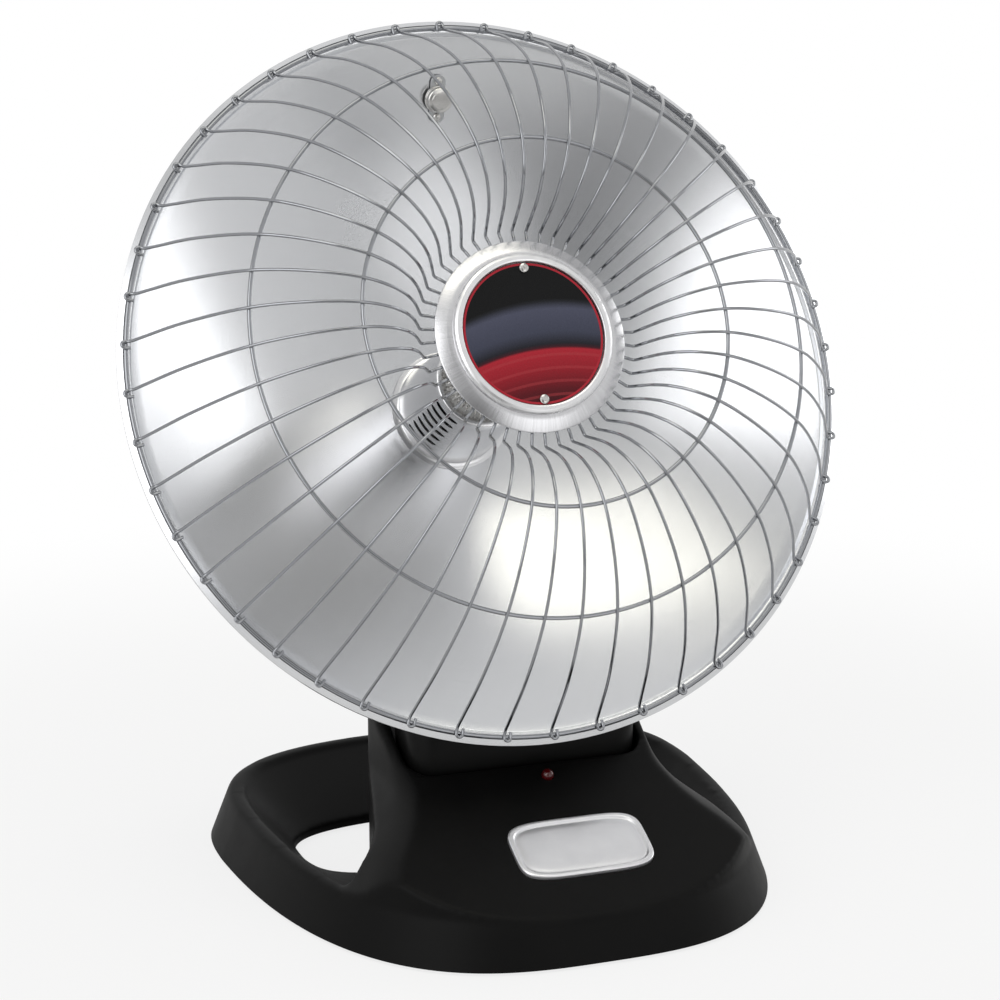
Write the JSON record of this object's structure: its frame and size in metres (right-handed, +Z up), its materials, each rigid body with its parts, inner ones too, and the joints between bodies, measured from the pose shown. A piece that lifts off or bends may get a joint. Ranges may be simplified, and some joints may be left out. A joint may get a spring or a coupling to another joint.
{
  "type": "parabolic heater",
  "caption": "Floor-standing electric heater with a parabolic dish reflector, a domed wire guard, a louvred central element and a tilting neck on a moulded base with side openings.",
  "frame": {"origin": "centre of the footprint at floor level, on the mirror plane", "axes": "+Z up, the front (the dish's open side and the ramp) faces -Y, +X to the viewer's right seen from the front"},
  "size_m": [0.4172, 0.319, 0.4706],
  "materials": {
    "black_plastic": "fine moulded texture, matte black",
    "black_rubber": "matte",
    "satin_aluminium": "satin",
    "bright_wire": "bright plated",
    "plated_steel": "zinc plated",
    "resistance_wire": "oxidised resistance wire",
    "white_ceramic": "matte fired",
    "red_lens": "clear red moulding",
    "lamp_glass": "neon lamp",
    "label_print": "glossy printed label",
    "nylon": "natural nylon"
  },
  "bodies": {
    "base": {"base_shell": "black_plastic", "bottom_plate": "black_plastic", "foot_front_left": "black_rubber", "foot_front_right": "black_rubber", "foot_back_left": "black_rubber", "foot_back_right": "black_rubber", "badge_plate": "satin_aluminium", "indicator_lens": "red_lens", "indicator_lamp": "lamp_glass", "cord_gland": "black_rubber", "tip_over_switch": "black_plastic", "alarm_buzzer": "black_plastic", "tilt_shaft": "plated_steel", "friction_washer_left": "nylon", "friction_washer_right": "nylon"},
    "head": {"neck_front": "black_plastic", "neck_rear": "black_plastic", "reflector_dish": "satin_aluminium", "guard": "bright_wire", "hub_backing": "plated_steel", "hub_cover": "satin_aluminium", "hub_bezel": "bright_wire", "hub_label": "label_print", "hub_screw_top": "plated_steel", "hub_screw_bottom": "plated_steel", "louvred_can": "satin_aluminium", "ceramic_core": "white_ceramic", "heating_coil": "resistance_wire", "terminal_lower": "plated_steel", "terminal_upper": "plated_steel", "tie_rod": "plated_steel", "rod_bridge": "plated_steel", "rod_nut_front": "plated_steel", "rod_nut_rear": "plated_steel", "rear_housing": "black_plastic", "rear_cover": "black_plastic", "thermostat": "black_plastic", "thermal_cutoff": "satin_aluminium", "cutoff_bracket": "plated_steel", "cutoff_rivet_upper": "plated_steel", "cutoff_rivet_lower": "plated_steel"},
    "knob": {"control_knob": "black_plastic", "knob_shaft": "plated_steel"}
  },
  "joints": [
    {"name": "head_tilt", "type": "hinge", "parent": "base", "child": "head", "pos_m": [0, 0.002, 0.082], "axis": [-1, 0, 0], "range_deg": [-15, 10]},
    {"name": "control_knob_turn", "type": "hinge", "parent": "head", "child": "knob", "pos_m": [0, 0.12807, 0.22656], "axis": [0, 0.9041, -0.4274], "range_deg": [0, 270]}
  ]
}
